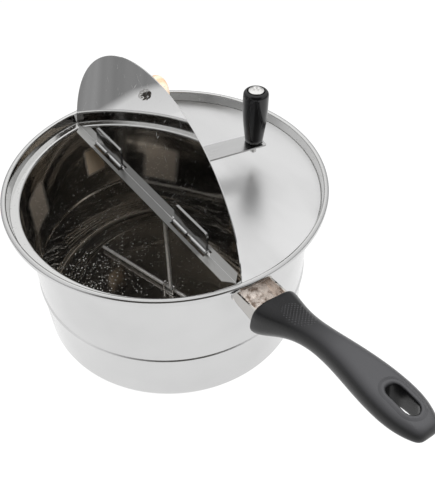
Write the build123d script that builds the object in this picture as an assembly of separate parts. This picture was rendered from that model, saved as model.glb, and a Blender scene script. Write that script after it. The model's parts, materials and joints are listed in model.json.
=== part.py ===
from build123d import *
import math
import os

os.makedirs("parts", exist_ok=True)

# Stovetop popcorn popper, in millimetres. The origin is the centre of the pot's base,
# +Z is up and +X points towards the long handle. The lid sits in the pot turned by
# lid_turn, with its flap open and its crank turned to crank_turn.

# pot: the wall stands seat_ledge inside the seat, and the seat rim_overhang inside the rim
rim_radius = 133.0
pot_height = 143.5
rim_overhang = 5.5
seat_ledge = 7.0
pot_sheet = 0.8
base_corner = 7.0
bead_height = 53.5
bead_rise = 1.0
bead_flat = 1.2
bead_slope = 1.6
bead_corner = 1.0
seat_depth = 10.0
seat_bend = 2.0
riser_flare = 1.2
lip_drop = 4.6
lip_return = 2.2
lip_bend = 1.5
lip_edge_bend = 1.2

# lid
lid_turn = 3.8
lid_gap = 0.5
seat_gap = 0.05
lid_sheet = 1.0
strip_width = 7.3
strip_end_gap = 7.5

# flap hinge: the axis lies hinge_offset from the pot's centre line
hinge_offset = 19.5
open_angle = 94.4
flap_sheet = 0.8
flap_gap = 0.3
flap_past_axis = 0.9
leaf_sheet = 1.0
leaf_length = 42.5
leaf_reach = 17.2
leaf_corner = 3.0
leaf_split = 6.0
leaf_split_room = 0.5
pin_radius = 1.0
pin_clearance = 0.05
pin_end = 1.0
hinge_station = 62.5
ear_sheet = 1.0
ear_gap = 0.35
ear_wall = 1.0
slot_near_room = 0.55
slot_far_room = 1.75
notch_clearance = 1.6

# flap knob and its screw
knob_edge_gap = 18.7
knob_foot_radius = 7.0
knob_head_radius = 11.2
knob_height = 16.5
knob_waist_share = 0.2
knob_crown_share = 0.55
knob_screw_radius = 1.6
knob_screw_depth = 10.0
knob_screw_tail = 4.6
small_washer_radius = 4.0
small_washer_sheet = 0.6
small_nut_flat = 6.0
small_nut_height = 2.6

# crank shaft and its bush: they stand shaft_offset from the pot's centre, towards the hinge
shaft_offset = 5.0
shaft_radius = 2.0
running_clearance = 0.05
bush_wall = 3.95
bush_flange_width = 5.0
bush_flange_sheet = 1.5
bush_rise = 20.1
bush_chamfer = 0.8
bush_washer_sheet = 1.0
bush_nut_flat = 17.0
bush_nut_height = 5.0
collar_radius = 7.0
collar_height = 8.0
collar_gap = 0.25
collar_screw_radius = 1.5
collar_screw_depth = 0.8
collar_screw_sink = 0.3

# crank arm
crank_turn = 77.4
arm_sheet = 1.5
arm_root_width = 21.0
arm_tip_width = 18.0
arm_past_grip = 7.6
arm_corner = 1.5
arm_washer_radius = 8.0
arm_washer_sheet = 0.5
thrust_gap = 0.1
shaft_flat_share = 0.75
shaft_thread_share = 0.85
shaft_thread_length = 5.0
crank_nut_flat = 7.0
crank_nut_height = 4.0
crank_nut_step = 0.3
nut_corner_share = 0.9

# crank grip
grip_reach = 83.6
grip_height = 46.8
grip_foot_radius = 7.6
grip_foot_chamfer = 0.8
grip_waist_height = 19.5
grip_waist_radius = 9.7
grip_top_radius = 10.3
grip_shoulder = 3.6
grip_gap = 0.2
spindle_radius = 2.5
spindle_head_radius = 6.2
spindle_head_height = 3.0
spindle_head_depth = 1.4
spindle_head_round = 2.1
head_clearance = 0.4
spindle_washer_radius = 5.5
spindle_washer_sheet = 0.8
spindle_nut_flat = 8.0
spindle_nut_height = 4.0
spindle_tail = 1.4

# stirrer
stirrer_turn = 16.3
stirrer_height = 4.8
stirrer_radius = 1.75
stirrer_wall_gap = 26.7
stirrer_end_share = 0.9
shaft_foot_gap = 0.4
clip_sheet = 1.2
clip_width = 8.0
clip_inner_length = 10.0
clip_floor_gap = 0.2
clip_top = 13.0
stirrer_pin_height = 10.0
stirrer_pin_radius = 1.0
stirrer_pin_head = 0.6

# handle bracket: a channel open at the top, with a plate curved round the pot's wall
bracket_sheet = 1.5
bracket_width = 29.2
bracket_drop = 25.9
bracket_rise = 9.0
bracket_length = 32.5
bracket_setback = 8.8
bracket_cut_rise = 7.0
bracket_bend = 2.5
bolt_radius = 2.5
bolt_head_radius = 4.6
bolt_head_height = 3.0
bolt_head_round = 1.8
bolt_slot_width = 1.0
bolt_slot_depth = 1.2
bolt_washer_radius = 6.0
bolt_washer_sheet = 1.0
bolt_length = 14.0
bolt_rise = 10.9
nut_width = 8.0
nut_height = 4.0
nut_setback = 7.0

# long handle: each station gives its share of the length, then width, height, corner
# radius and how far its middle lies above the tilted axis
handle_overlap = 7.5
handle_rise = 9.4
handle_tilt = 18.4
handle_length = 142.5
handle_front = (-0.06, bracket_width + 3.4, 24.2, 8.5, -5.6)
handle_shoulder = (0.14, bracket_width + 3.8, 25.0, 9.5, -0.8)
handle_waist = (0.42, 19.6, 18.0, 8.3, 4.2)
handle_palm = (0.68, 25.2, 20.6, 9.2, 2.2)
handle_eye = (0.86, 28.6, 18.2, 8.2, -1.5)
handle_tip = (0.97, 24.0, 14.8, 6.8, -4.0)
handle_nose = (1.04, 14.0, 10.0, 4.8, -6.4)
nose_fillet = 4.5
mouth_setback = 4.0
mouth_rise = 18.4
mouth_lean = 5.0
mouth_round = 2.0
socket_clearance = 0.2
eye_reach = 129.0
eye_length = 21.0
eye_width = 9.4

# cutters reach this far past what they cut
past = 1.0

# worked out from the sizes above
seat_radius = rim_radius - rim_overhang
body_radius = seat_radius - seat_ledge
seat_height = pot_height - seat_depth
lid_radius = seat_radius - lid_gap
strip_half_length = lid_radius - strip_end_gap
flap_radius = seat_radius - flap_gap
knob_reach = flap_radius - hinge_offset - knob_edge_gap
plate_bottom = seat_height + seat_gap
plate_top = plate_bottom + lid_sheet
knuckle_bore = pin_radius + pin_clearance
knuckle_radius = knuckle_bore + leaf_sheet
ear_radius = pin_radius + ear_wall
slot_near = knuckle_radius + slot_near_room
slot_far = knuckle_radius + slot_far_room
hinge_y = -hinge_offset
hinge_z = plate_top + pin_radius + seat_gap
flap_bottom = hinge_z + leaf_sheet / 2
flap_top = flap_bottom + flap_sheet
ridge_y = hinge_y + leaf_sheet / 2
ear_inner = leaf_length / 2 + ear_gap
ear_outer = ear_inner + ear_sheet
bush_radius = shaft_radius + running_clearance + bush_wall
bush_washer_radius = bush_radius + bush_flange_width
shaft_flat = shaft_radius * shaft_flat_share
shaft_thread_radius = shaft_radius * shaft_thread_share
bush_top = plate_top + bush_rise
arm_bottom = bush_top + thrust_gap + arm_washer_sheet
arm_top = arm_bottom + arm_sheet
arm_reach = grip_reach + arm_past_grip
grip_bottom = arm_top + spindle_washer_sheet + grip_gap
grip_top = grip_bottom + grip_height
collar_top = plate_bottom - bush_flange_sheet - collar_gap
collar_middle = collar_top - collar_height / 2
shaft_foot = stirrer_height + stirrer_radius + shaft_foot_gap
stirrer_half_length = body_radius - stirrer_wall_gap
clip_half = clip_inner_length / 2 + clip_sheet
bracket_bottom = pot_height - bracket_drop
bracket_reach = body_radius + bracket_length
mouth_reach = bracket_reach - mouth_setback
mouth_height = bracket_bottom + mouth_rise
bolt_height = bracket_bottom + bolt_rise
handle_start = mouth_reach - handle_overlap
handle_start_height = bracket_bottom + handle_rise
bracket_top = seat_height - pot_sheet - seat_bend
bracket_run = bracket_reach - body_radius + bracket_sheet
bracket_end_top = bracket_top + bracket_run * math.tan(math.radians(bracket_rise))

hinge_axis = Axis((0, hinge_y, hinge_z), (1, 0, 0))
lid_place = Rot(0, 0, lid_turn)
shaft_place = lid_place * Pos(0, -shaft_offset, 0)
crank_place = shaft_place * Rot(0, 0, crank_turn)
grip_place = crank_place * Pos(grip_reach, 0, 0)
handle_place = Pos(handle_start, 0, handle_start_height) * Rot(0, -handle_tilt, 0)


# a cylinder standing on bottom, from one height to another
def post(radius, bottom, top):
    return Pos(0, 0, bottom) * Cylinder(radius, top - bottom, align=(Align.CENTER, Align.CENTER, Align.MIN))


# a flat ring standing on bottom
def ring(outer, inner, bottom, top):
    return post(outer, bottom, top) - post(inner, bottom - past, top + past)


# a box given by its lowest and highest corners
def block(low, high):
    size = [b - a for a, b in zip(low, high)]
    return Pos(*low) * Box(*size, align=(Align.MIN, Align.MIN, Align.MIN))


# a hexagon nut around a hole, with its corners turned down
def hex_nut(flat, hole, bottom, top):
    corner = flat / math.sqrt(3)
    body = Pos(0, 0, bottom) * extrude(RegularPolygon(corner, 6), top - bottom)
    rims = post(corner, bottom, top).edges().filter_by(GeomType.CIRCLE)
    body &= chamfer(rims, (corner - flat / 2) * nut_corner_share)
    return body - post(hole, bottom - past, top + past)


# corners of a line moved sideways to its left by distance
def shifted(corners, distance):
    lines = []
    for (x0, y0), (x1, y1) in zip(corners, corners[1:]):
        length = math.hypot(x1 - x0, y1 - y0)
        nx = -(y1 - y0) / length * distance
        ny = (x1 - x0) / length * distance
        lines.append(((x0 + nx, y0 + ny), (x1 + nx, y1 + ny)))
    moved = [lines[0][0]]
    for (p, q), (r, s) in zip(lines, lines[1:]):
        ax, ay = q[0] - p[0], q[1] - p[1]
        bx, by = s[0] - r[0], s[1] - r[1]
        t = ((r[0] - p[0]) * by - (r[1] - p[1]) * bx) / (ax * by - ay * bx)
        moved.append((p[0] + ax * t, p[1] + ay * t))
    moved.append(lines[-1][1])
    return moved


# section of a bent sheet from its middle line, whose corners have the given bend radii
def sheet_section(corners, bends, sheet):
    sides = []
    for distance in (sheet / 2, -sheet / 2):
        radii = []
        for (a, b, c), bend in zip(zip(corners, corners[1:], corners[2:]), bends):
            turn = (b[0] - a[0]) * (c[1] - b[1]) - (b[1] - a[1]) * (c[0] - b[0])
            radii.append(bend - distance * math.copysign(1, turn))
        sides.append(FilletPolyline(*shifted(corners, distance), radius=radii))
    left, right = sides
    ends = [Line(left @ 0, right @ 0), Line(left @ 1, right @ 1)]
    return make_face([left, right] + ends)


def pot_body():
    wall = body_radius - pot_sheet / 2
    seat = seat_height - pot_sheet / 2
    riser = seat_radius + pot_sheet / 2
    top = pot_height - pot_sheet / 2
    lip = rim_radius - pot_sheet / 2
    bead_out = wall + bead_rise
    half_flat = bead_flat / 2
    corners = [
        (0, pot_sheet / 2),
        (wall, pot_sheet / 2),
        (wall, bead_height - half_flat - bead_slope),
        (bead_out, bead_height - half_flat),
        (bead_out, bead_height + half_flat),
        (wall, bead_height + half_flat + bead_slope),
        (wall, seat),
        (riser, seat),
        (riser + riser_flare, top),
        (lip, top),
        (lip, top - lip_drop),
        (lip - lip_return, top - lip_drop),
    ]
    base_bend = base_corner - pot_sheet / 2
    bends = [base_bend, bead_corner, bead_flat / 2, bead_flat / 2, bead_corner]
    bends += [seat_bend, bead_corner, lip_bend, lip_bend, lip_edge_bend]
    section = sheet_section(corners, bends, pot_sheet)
    return revolve(Plane.XZ * section, Axis.Z)


# the bracket seen from the side: its top edge rises from under the seat, its foot is cut back
def bracket_side():
    wall = body_radius - bracket_sheet
    foot = body_radius + bracket_setback
    return make_face(Polyline(
        (wall, bracket_bottom + bracket_cut_rise), (foot, bracket_bottom), (bracket_reach, bracket_bottom),
        (bracket_reach, bracket_end_top), (wall, bracket_top), close=True,
    ))


# the channel's floor carried on up its cut back foot to the wall
def bracket_ramp():
    wall = body_radius - bracket_sheet
    foot = body_radius + bracket_setback
    top = bracket_bottom + bracket_cut_rise
    sheet = bracket_sheet * math.hypot(foot - wall, bracket_cut_rise) / (foot - wall)
    outline = make_face(Polyline(
        (wall, top), (foot, bracket_bottom), (foot, bracket_bottom + sheet), (wall, top + sheet), close=True,
    ))
    return extrude(Plane.XZ * outline, bracket_width / 2 - bracket_sheet / 2, both=True)


def handle_bracket():
    half = bracket_width / 2 - bracket_sheet / 2
    low = bracket_bottom + bracket_sheet / 2
    corners = [(-half, pot_height), (-half, low), (half, low), (half, pot_height)]
    section = sheet_section(corners, [bracket_bend] * 2, bracket_sheet)
    start = body_radius - bracket_sheet
    channel = extrude(Plane.YZ.offset(start) * section, bracket_reach - start)
    side = extrude(Plane.XZ * bracket_side(), bracket_width, both=True)
    stop = block(
        (mouth_reach - bracket_sheet, -half, low),
        (mouth_reach, half, mouth_height - 2 * bracket_sheet),
    )
    channel = ((channel + stop) & side) + bracket_ramp()
    plate = ring(body_radius + bracket_sheet, body_radius, bracket_bottom, bracket_top)
    plate &= block((0, -half, bracket_bottom), (bracket_reach, half, bracket_top))
    bracket = (channel + plate) - post(body_radius, 0, pot_height)
    return bracket - bolt_line(bolt_radius, mouth_reach - bolt_length, mouth_reach + past)


# a cylinder along the handle bolt, between two distances from the pot's centre
def bolt_line(radius, start, end):
    return Pos(start, 0, bolt_height) * Rot(0, 90, 0) * post(radius, 0, end - start)


def handle_bolt():
    face = mouth_reach - bracket_sheet - bolt_washer_sheet
    head = bolt_line(bolt_head_radius, face - bolt_head_height, face)
    head = fillet(head.edges().filter_by(GeomType.CIRCLE).sort_by(Axis.X)[0], bolt_head_round)
    crown = face - bolt_head_height
    half = bolt_slot_width / 2
    slot = block(
        (crown - past, -half, bolt_height - bolt_head_radius),
        (crown + bolt_slot_depth, half, bolt_height + bolt_head_radius),
    )
    return head - slot + bolt_line(bolt_radius, face, mouth_reach + bolt_length)


def handle_washer():
    face = mouth_reach - bracket_sheet
    outer = bolt_line(bolt_washer_radius, face - bolt_washer_sheet, face)
    return outer - bolt_line(bolt_radius, face - bolt_length, face + past)


def handle_nut():
    start = mouth_reach + nut_setback
    half = nut_width / 2
    nut = block((start, -half, bolt_height - half), (start + nut_height, half, bolt_height + half))
    return nut - bolt_line(bolt_radius, start - past, start + nut_height + past)


# one cross section of the handle, square to its axis
def handle_section(station):
    share, width, height, corner, rise = station
    place = Plane(origin=(handle_length * share, 0, rise), x_dir=(0, 1, 0), z_dir=(1, 0, 0))
    return place * RectangleRounded(width, height, corner)


# the slot in the handle that takes the bracket, and the bolt's and nut's room behind it
def handle_socket():
    half = bracket_width / 2 + socket_clearance
    low = bracket_bottom - socket_clearance
    reach = bracket_reach + socket_clearance
    top = bracket_end_top + socket_clearance
    socket = block((mouth_reach - bracket_length, -half, low), (reach, half, top))
    core_half = bracket_width / 2 - bracket_sheet - socket_clearance
    core_low = bracket_bottom + bracket_sheet + socket_clearance
    socket -= block((mouth_reach, -core_half, core_low), (reach + past, core_half, top + past))
    room = nut_width / 2 + socket_clearance
    nut_start = mouth_reach + nut_setback - socket_clearance
    nut_end = nut_start + nut_height + 2 * socket_clearance
    socket += block((nut_start, -room, bolt_height - room), (nut_end, room, bolt_height + room))
    end = mouth_reach + bolt_length + past
    return socket + bolt_line(bolt_radius + socket_clearance, mouth_reach - past, end)


def long_handle():
    near = [handle_front, handle_shoulder, handle_waist, handle_palm]
    grip = loft([handle_section(station) for station in near + [handle_eye, handle_tip, handle_nose]])
    grip = fillet(grip.faces().sort_by(Axis.X)[-1].edges(), nose_fillet)
    eye_depth = handle_eye[2]
    eye = Pos(eye_reach, 0, -eye_depth) * extrude(SlotOverall(eye_length, eye_width), 2 * eye_depth)
    grip = handle_place * (grip - eye)
    mouth = Pos(mouth_reach, 0, mouth_height) * Rot(0, mouth_lean, 0)
    reach = handle_length
    grip -= mouth * block((-reach, -reach, -reach), (0, reach, reach))
    grip = fillet(grip.faces().sort_by(Axis.X)[0].edges(), mouth_round)
    return grip - handle_socket()


# the two hinge stations are the same, one each side of the lid's middle
def stations(make):
    return [Pos(side * hinge_station, 0, 0) * make() for side in (-1, 1)]


# a bar along X about the hinge axis
def hinge_bar(radius, start, end):
    return Pos(start, hinge_y, hinge_z) * Rot(0, 90, 0) * post(radius, 0, end - start)


# ears stand at both ends of a slot and hold the pin
def pin_ears():
    ears = Part()
    for start in (-ear_outer, ear_inner):
        ears += block(
            (start, hinge_y - ear_radius, plate_bottom),
            (start + ear_sheet, hinge_y + ear_radius, hinge_z),
        )
        ears += hinge_bar(ear_radius, start, start + ear_sheet)
    return ears - hinge_bar(pin_radius, -ear_outer - past, ear_outer + past)


def lid_plate():
    reach = strip_half_length
    edge = ridge_y - strip_width
    disc = Circle(lid_radius) & Pos(0, ridge_y) * Rectangle(
        2 * lid_radius, 2 * lid_radius, align=(Align.CENTER, Align.MIN)
    )
    strip = make_face(Polyline(
        (-reach, ridge_y + past), (-reach, ridge_y), (-reach + strip_width, edge),
        (reach - strip_width, edge), (reach, ridge_y), (reach, ridge_y + past), close=True,
    ))
    slot_middle = hinge_y + (slot_near - slot_far) / 2
    outline = disc + strip - Pos(0, -shaft_offset) * Circle(bush_radius)
    for side in (-1, 1):
        outline -= Pos(side * hinge_station, slot_middle) * Rectangle(2 * ear_outer, slot_near + slot_far)
    plate = Pos(0, 0, plate_bottom) * extrude(outline, lid_sheet)
    for ears in stations(pin_ears):
        plate += ears
    return lid_place * plate


def hinge_pin():
    length = ear_outer + pin_end
    return hinge_bar(pin_radius, -length, length)


# turns a piece of the closed flap to where the flap stands open
def opened(piece):
    return lid_place * piece.rotate(hinge_axis, -open_angle)


def lid_flap():
    outline = Circle(flap_radius) & Pos(0, hinge_y + flap_past_axis) * Rectangle(
        2 * flap_radius, 2 * flap_radius, align=(Align.CENTER, Align.MAX)
    )
    notch = ear_outer + pin_end + notch_clearance
    for side in (-1, 1):
        outline -= Pos(side * hinge_station, hinge_y - knuckle_radius - pin_clearance) * Rectangle(
            2 * notch, 2 * hinge_offset, align=(Align.CENTER, Align.MIN)
        )
    outline -= Pos(0, hinge_y - knob_reach) * Circle(knob_screw_radius + running_clearance)
    return opened(Pos(0, 0, flap_bottom) * extrude(outline, flap_sheet))


def closed_leaf():
    half = leaf_length / 2
    low = hinge_z - leaf_sheet / 2
    outline = Pos(0, hinge_y) * Rectangle(leaf_length, leaf_reach, align=(Align.CENTER, Align.MAX))
    outline = fillet(outline.vertices().group_by(Axis.Y)[0], leaf_corner)
    leaf = Pos(0, 0, low) * extrude(outline, leaf_sheet)
    leaf += hinge_bar(knuckle_radius, -half, half)
    split = leaf_split / 2
    room = knuckle_radius + leaf_split_room
    leaf -= block((-split, hinge_y - room, hinge_z - room), (split, hinge_y + room, hinge_z + room))
    return leaf - hinge_bar(knuckle_bore, -half - past, half + past)


# pieces on the flap's knob share its middle line, measured from the closed flap's outer face
def knob_place(piece):
    return opened(Pos(0, hinge_y - knob_reach, flap_top) * piece)


def flap_knob():
    waist = knob_height * knob_waist_share
    crown = knob_height * knob_crown_share
    outline = make_face([
        Line((0, 0), (knob_foot_radius, 0)),
        Line((knob_foot_radius, 0), (knob_foot_radius, waist)),
        Spline(
            (knob_foot_radius, waist), (knob_head_radius, crown), (0, knob_height),
            tangents=[(1, 0.6), (-1, 0)],
        ),
        Line((0, knob_height), (0, 0)),
    ])
    knob = revolve(Plane.XZ * outline, Axis.Z)
    return knob_place(knob - post(knob_screw_radius, -past, knob_screw_depth))


def knob_screw():
    return knob_place(post(knob_screw_radius, -flap_sheet - knob_screw_tail, knob_screw_depth))


def knob_washer():
    face = -flap_sheet
    return knob_place(ring(small_washer_radius, knob_screw_radius, face - small_washer_sheet, face))


def knob_nut():
    face = -flap_sheet - small_washer_sheet
    return knob_place(hex_nut(small_nut_flat, knob_screw_radius, face - small_nut_height, face))


def shaft_bush():
    flange = post(bush_washer_radius, plate_bottom - bush_flange_sheet, plate_bottom)
    barrel = post(bush_radius, plate_bottom - bush_flange_sheet, bush_top)
    barrel = chamfer(barrel.edges().filter_by(GeomType.CIRCLE).sort_by(Axis.Z)[-1], bush_chamfer)
    bore = post(shaft_radius + running_clearance, 0, bush_top + past)
    return shaft_place * (flange + barrel - bore)


def bush_washer():
    return shaft_place * ring(bush_washer_radius, bush_radius, plate_top, plate_top + bush_washer_sheet)


def bush_nut():
    bottom = plate_top + bush_washer_sheet
    return shaft_place * hex_nut(bush_nut_flat, bush_radius, bottom, bottom + bush_nut_height)


# two flats at the shaft's top turn the arm
def flatted(radius, flat, bottom, top):
    keep = block((-radius, -flat, bottom), (radius, flat, top))
    return post(radius, bottom, top) & keep


# the collar's screw, or the room for it, from near the shaft's middle outwards
def collar_drill(start, end):
    return Pos(0, 0, collar_middle) * Rot(0, 90, 0) * post(collar_screw_radius, start, end)


def crank_shaft():
    shaft = post(shaft_radius, shaft_foot, arm_bottom)
    shaft += flatted(shaft_radius, shaft_flat, arm_bottom, arm_top)
    shaft += post(shaft_thread_radius, arm_top, arm_top + shaft_thread_length)
    shaft -= stirrer_bar(stirrer_pin_radius, stirrer_pin_height, clip_half)
    return crank_place * (shaft - collar_drill(shaft_radius - collar_screw_depth, collar_radius))


def shaft_collar():
    collar = ring(collar_radius, shaft_radius, collar_top - collar_height, collar_top)
    return crank_place * (collar - collar_drill(0, collar_radius + past))


def collar_screw():
    tip = shaft_radius - collar_screw_depth
    return crank_place * collar_drill(tip, collar_radius - collar_screw_sink)


def arm_washer():
    return crank_place * ring(arm_washer_radius, shaft_radius, bush_top + thrust_gap, arm_bottom)


def crank_arm():
    root = arm_root_width / 2
    tip = arm_tip_width / 2
    outline = make_face(Polyline((0, -root), (arm_reach, -tip), (arm_reach, tip), (0, root), close=True))
    outline = fillet(outline.vertices().group_by(Axis.X)[-1], arm_corner)
    arm = Pos(0, 0, arm_bottom) * extrude(outline + Circle(root), arm_sheet)
    arm -= flatted(shaft_radius, shaft_flat, arm_bottom - past, arm_top + past)
    arm -= Pos(grip_reach, 0, 0) * post(spindle_radius, arm_bottom - past, arm_top + past)
    return crank_place * arm


def crank_nut():
    top = arm_top + crank_nut_height
    nut = hex_nut(crank_nut_flat, shaft_thread_radius, arm_top, top)
    reach = crank_nut_flat
    upper = block((-reach, -reach, 0), (reach, reach, reach))
    dome = Pos(0, 0, top) * (Sphere(crank_nut_flat / 2 - crank_nut_step) & upper)
    dome -= post(shaft_thread_radius, top - past, arm_top + shaft_thread_length)
    return crank_place * (nut + dome)


def crank_grip():
    radius = grip_top_radius - grip_shoulder
    outline = make_face([
        Line((0, 0), (grip_foot_radius - grip_foot_chamfer, 0)),
        Line((grip_foot_radius - grip_foot_chamfer, 0), (grip_foot_radius, grip_foot_chamfer)),
        Spline(
            (grip_foot_radius, grip_foot_chamfer), (grip_waist_radius, grip_waist_height),
            (grip_top_radius, grip_height - grip_shoulder),
            tangents=[(0.1, 1), (0, 1)],
        ),
        RadiusArc(
            (grip_top_radius, grip_height - grip_shoulder), (radius, grip_height), -grip_shoulder
        ),
        Line((radius, grip_height), (0, grip_height)),
        Line((0, grip_height), (0, 0)),
    ])
    grip = revolve(Plane.XZ * outline, Axis.Z)
    grip -= post(spindle_radius + running_clearance, -past, grip_height + past)
    recess = spindle_head_depth + grip_gap
    grip -= post(spindle_head_radius + head_clearance, grip_height - recess, grip_height + past)
    return grip_place * Pos(0, 0, grip_bottom) * grip


def grip_spindle():
    seat = grip_top - spindle_head_depth
    head = post(spindle_head_radius, seat, seat + spindle_head_height)
    head = fillet(head.edges().filter_by(GeomType.CIRCLE).sort_by(Axis.Z)[-1], spindle_head_round)
    tail = arm_bottom - spindle_nut_height - spindle_tail
    return grip_place * (head + post(spindle_radius, tail, seat))


def spindle_washer():
    return grip_place * ring(spindle_washer_radius, spindle_radius, arm_top, arm_top + spindle_washer_sheet)


def spindle_nut():
    nut = hex_nut(spindle_nut_flat, spindle_radius, arm_bottom - spindle_nut_height, arm_bottom)
    return grip_place * nut


# a bar along the stirrer's direction, centred on the shaft
def stirrer_bar(radius, height, half):
    turn = Rot(0, 0, stirrer_turn - crank_turn)
    return turn * Pos(-half, 0, height) * Rot(0, 90, 0) * post(radius, 0, 2 * half)


def stirrer_clip():
    floor = stirrer_height - stirrer_radius - clip_floor_gap - clip_sheet
    width = clip_width / 2
    clip = block((-clip_half, -width, floor), (clip_half, width, floor + clip_sheet))
    for start in (-clip_half, clip_half - clip_sheet):
        clip += block((start, -width, floor), (start + clip_sheet, width, clip_top - width))
        clip += Pos(start, 0, clip_top - width) * Rot(0, 90, 0) * post(width, 0, clip_sheet)
    clip = Rot(0, 0, stirrer_turn - crank_turn) * clip
    clip -= stirrer_bar(stirrer_radius, stirrer_height, clip_half + past)
    return crank_place * (clip - stirrer_bar(stirrer_pin_radius, stirrer_pin_height, clip_half + past))


def stirrer_pin():
    return crank_place * stirrer_bar(stirrer_pin_radius, stirrer_pin_height, clip_half + stirrer_pin_head)


def stirrer_rod():
    rod = stirrer_bar(stirrer_radius, stirrer_height, stirrer_half_length)
    rod = fillet(rod.edges().filter_by(GeomType.CIRCLE), stirrer_radius * stirrer_end_share)
    return crank_place * rod


pieces = {
    "pot_body": pot_body(),
    "handle_bracket": handle_bracket(),
    "long_handle": long_handle(),
    "handle_bolt": handle_bolt(),
    "handle_washer": handle_washer(),
    "handle_nut": handle_nut(),
    "lid_plate": lid_plate(),
    "shaft_bush": shaft_bush(),
    "bush_washer": bush_washer(),
    "bush_nut": bush_nut(),
    "lid_flap": lid_flap(),
    "flap_knob": flap_knob(),
    "knob_screw": knob_screw(),
    "knob_washer": knob_washer(),
    "knob_nut": knob_nut(),
    "crank_shaft": crank_shaft(),
    "shaft_collar": shaft_collar(),
    "collar_screw": collar_screw(),
    "arm_washer": arm_washer(),
    "crank_arm": crank_arm(),
    "crank_nut": crank_nut(),
    "crank_grip": crank_grip(),
    "grip_spindle": grip_spindle(),
    "spindle_washer": spindle_washer(),
    "spindle_nut": spindle_nut(),
    "stirrer_clip": stirrer_clip(),
    "stirrer_pin": stirrer_pin(),
    "stirrer_rod": stirrer_rod(),
}
rear_pin, front_pin = stations(hinge_pin)
rear_leaf, front_leaf = stations(closed_leaf)
pieces["rear_hinge_pin"] = lid_place * rear_pin
pieces["front_hinge_pin"] = lid_place * front_pin
pieces["rear_hinge_leaf"] = opened(rear_leaf)
pieces["front_hinge_leaf"] = opened(front_leaf)

for name, piece in pieces.items():
    export_step(piece, f"parts/{name}.step")
    print(name, "solids", len(piece.solids()), "volume", round(piece.volume, 1))
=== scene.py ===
import json
import math
import bpy
import bmesh
import numpy as np
from mathutils import Matrix, Quaternion, Vector


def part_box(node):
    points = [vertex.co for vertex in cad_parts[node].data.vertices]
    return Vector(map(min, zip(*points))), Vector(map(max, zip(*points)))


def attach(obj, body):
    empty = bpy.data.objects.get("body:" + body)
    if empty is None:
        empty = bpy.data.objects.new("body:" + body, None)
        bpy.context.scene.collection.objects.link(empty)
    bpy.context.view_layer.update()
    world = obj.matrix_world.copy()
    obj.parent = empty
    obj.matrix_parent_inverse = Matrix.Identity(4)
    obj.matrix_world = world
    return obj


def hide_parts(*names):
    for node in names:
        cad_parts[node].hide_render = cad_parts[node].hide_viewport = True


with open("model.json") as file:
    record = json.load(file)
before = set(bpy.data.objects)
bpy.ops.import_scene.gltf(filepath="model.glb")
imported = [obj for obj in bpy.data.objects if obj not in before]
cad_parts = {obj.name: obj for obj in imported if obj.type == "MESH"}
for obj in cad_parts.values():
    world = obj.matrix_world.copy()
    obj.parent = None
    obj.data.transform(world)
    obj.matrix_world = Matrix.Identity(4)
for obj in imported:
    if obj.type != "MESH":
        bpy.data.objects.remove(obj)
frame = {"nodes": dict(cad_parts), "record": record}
cadNodes = frame["nodes"]
bodyOf = {node: body for body, nodes in frame["record"]["behaviour"]["bodies"].items() for node in nodes}
slotOf = {part["node"]: part["material_slot"] for part in frame["record"]["subparts"]}
scene = bpy.context.scene
mm = 0.001


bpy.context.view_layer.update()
print("frame loaded:", len(cadNodes), "pieces")


# the camera stands at the photograph's viewing angle; its place is in metres and its lens in mm
cameraLook = {"place": (0.3487, -0.1708, 0.4585), "forward": (-0.5873, 0.3713, -0.7192), "roll": -0.0019, "lens": 43.77}


def makeCamera(look):
    data = bpy.data.cameras.new("camera")
    data.lens = look["lens"]
    data.sensor_width = 36
    data.clip_start = 0.01
    data.clip_end = 50
    camera = bpy.data.objects.new("camera", data)
    scene.collection.objects.link(camera)
    turn = Vector(look["forward"]).to_track_quat("-Z", "Y") @ Quaternion((0, 0, 1), look["roll"])
    camera.matrix_world = Matrix.Translation(look["place"]) @ turn.to_matrix().to_4x4()
    scene.camera = camera


makeCamera(cameraLook)
print("camera placed")


# small helpers for materials

colourMix = {"out": 2, "data_type": "RGBA"}  # a Mix node of colours: 0 is the share of 7 over 6, output 2 the result


def linearFromHex(text):
    # sRGB hex to linear: divide by 255, then undo the display curve
    values = [int(text[i:i + 2], 16) / 255 for i in (1, 3, 5)]
    return tuple(v / 12.92 if v <= 0.04045 else ((v + 0.055) / 1.055) ** 2.4 for v in values) + (1.0,)


def addNode(tree, kind, sockets=(), out=0, **settings):
    # one node with its settings; each socket, by place or by name, takes a value or a link; gives one output
    node = tree.nodes.new("ShaderNode" + kind)
    for name, value in settings.items():
        setattr(node, name, value)
    for name, value in (sockets.items() if isinstance(sockets, dict) else enumerate(sockets)):
        if isinstance(value, bpy.types.NodeSocket):
            tree.links.new(value, node.inputs[name])
        else:
            node.inputs[name].default_value = value
    return node.outputs[out]


def newMaterial(name):
    material = bpy.data.materials.new(name)
    material.use_nodes = True
    tree = material.node_tree
    return material, tree, addNode(tree, "TexCoord", out="Object")


def finishMaterial(material, sockets):
    # the shader's sockets take their values or links
    tree = material.node_tree
    shader = next(node for node in tree.nodes if node.type == "BSDF_PRINCIPLED")
    for name, value in sockets.items():
        if isinstance(value, bpy.types.NodeSocket):
            tree.links.new(value, shader.inputs[name])
        else:
            shader.inputs[name].default_value = value
    return material


def roundPlace(tree, place):
    # radius, angle and height about the pot's axis, so a pattern runs round it
    x, y, z = addNode(tree, "SeparateXYZ", [place]).node.outputs
    flat = addNode(tree, "CombineXYZ", [x, y])
    return addNode(tree, "VectorMath", [flat], "Value", operation="LENGTH"), addNode(
        tree, "Math", [y, x], operation="ARCTAN2"), z


def hump(tree, value, middle, half, soft):
    # 1 within half of middle, falling to 0 over the next soft
    away = addNode(tree, "Math", [addNode(tree, "Math", [value, middle], operation="SUBTRACT")], operation="ABSOLUTE")
    return addNode(tree, "MapRange", [away, half, half + soft, 1.0, 0.0])


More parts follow.
